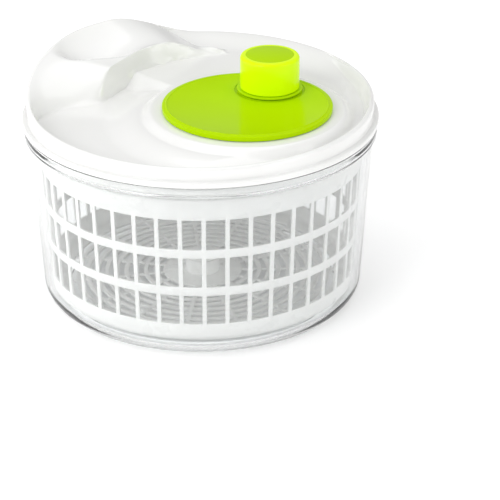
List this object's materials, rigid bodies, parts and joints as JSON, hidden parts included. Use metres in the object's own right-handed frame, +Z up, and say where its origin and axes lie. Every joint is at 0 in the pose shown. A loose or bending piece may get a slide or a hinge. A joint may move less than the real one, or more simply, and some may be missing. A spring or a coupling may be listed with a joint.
{
  "type": "salad spinner",
  "caption": "Round crank salad spinner: clear tapered bowl, slotted white basket, white lid with pouring lip, and a green crank disc with an upright knob.",
  "frame": {"origin": "centre of the bowl's underside, on the bowl's axis, at the level of its foot ring", "axes": "+Z up along the axis of bowl, basket and lid; -Y is the front; the crank disc is offset towards +X -Y and the pouring lip towards -X +Y"},
  "size_m": [0.244, 0.244, 0.1725],
  "materials": {
    "clear_plastic": "clear moulded, polished",
    "lid_white": "glossy moulded",
    "basket_white": "satin gloss moulded",
    "housing_white": "satin moulded",
    "lime_green": "glossy moulded",
    "acetal": "satin moulded",
    "steel": "turned"
  },
  "bodies": {
    "bowl": {"bowl": "clear_plastic", "pivot_pin": "steel"},
    "basket_bearing": {"basket_bearing": "acetal"},
    "basket": {"basket": "basket_white", "hub_cap": "basket_white"},
    "lid": {"lid_shell": "lid_white", "gear_housing": "housing_white", "housing_screw_1": "steel", "housing_screw_2": "steel", "housing_screw_3": "steel", "housing_screw_4": "steel", "crank_bush": "acetal", "shaft_bush": "acetal"},
    "crank": {"crank_disc": "lime_green", "ring_gear": "acetal", "gear_screw_1": "steel", "gear_screw_2": "steel", "gear_screw_3": "steel", "gear_screw_4": "steel", "crank_screw": "steel", "crank_washer": "steel", "knob_collar": "lime_green", "knob_axle": "steel", "knob_washer": "steel", "knob_screw": "steel"},
    "knob": {"knob": "lime_green", "knob_cap": "lime_green"},
    "driver": {"drive_pinion": "acetal", "drive_shaft": "steel", "shaft_clip": "steel", "shaft_washer": "steel", "drive_rotor": "housing_white", "rotor_washer": "steel", "rotor_screw": "steel"}
  },
  "joints": [
    {"name": "lid_lift", "type": "slide", "parent": "bowl", "child": "lid", "axis": [0, 0, 1], "range_m": [0, 0.28]},
    {"name": "crank_spin", "type": "hinge", "parent": "lid", "child": "crank", "pos_m": [0.03195, -0.02407, 0.146], "axis": [0, 0, 1], "continuous": true},
    {"name": "knob_spin", "type": "hinge", "parent": "crank", "child": "knob", "pos_m": [0.04717, 0.00178, 0.16], "axis": [0, 0, 1], "continuous": true},
    {"name": "driver_spin", "type": "hinge", "parent": "lid", "child": "driver", "pos_m": [0, 0, 0.13], "axis": [0, 0, 1], "continuous": true},
    {"name": "basket_lift", "type": "slide", "parent": "bowl", "child": "basket_bearing", "axis": [0, 0, 1], "range_m": [0, 0.14]},
    {"name": "basket_spin", "type": "hinge", "parent": "basket_bearing", "child": "basket", "pos_m": [0, 0, 0.02], "axis": [0, 0, 1], "continuous": true}
  ],
  "couplings": [
    {"joint": "driver_spin", "follows": "crank_spin", "ratio": 5},
    {"joint": "basket_spin", "follows": "crank_spin", "ratio": 5},
    {"joint": "basket_lift", "follows": "lid_lift", "ratio": 0.5}
  ]
}
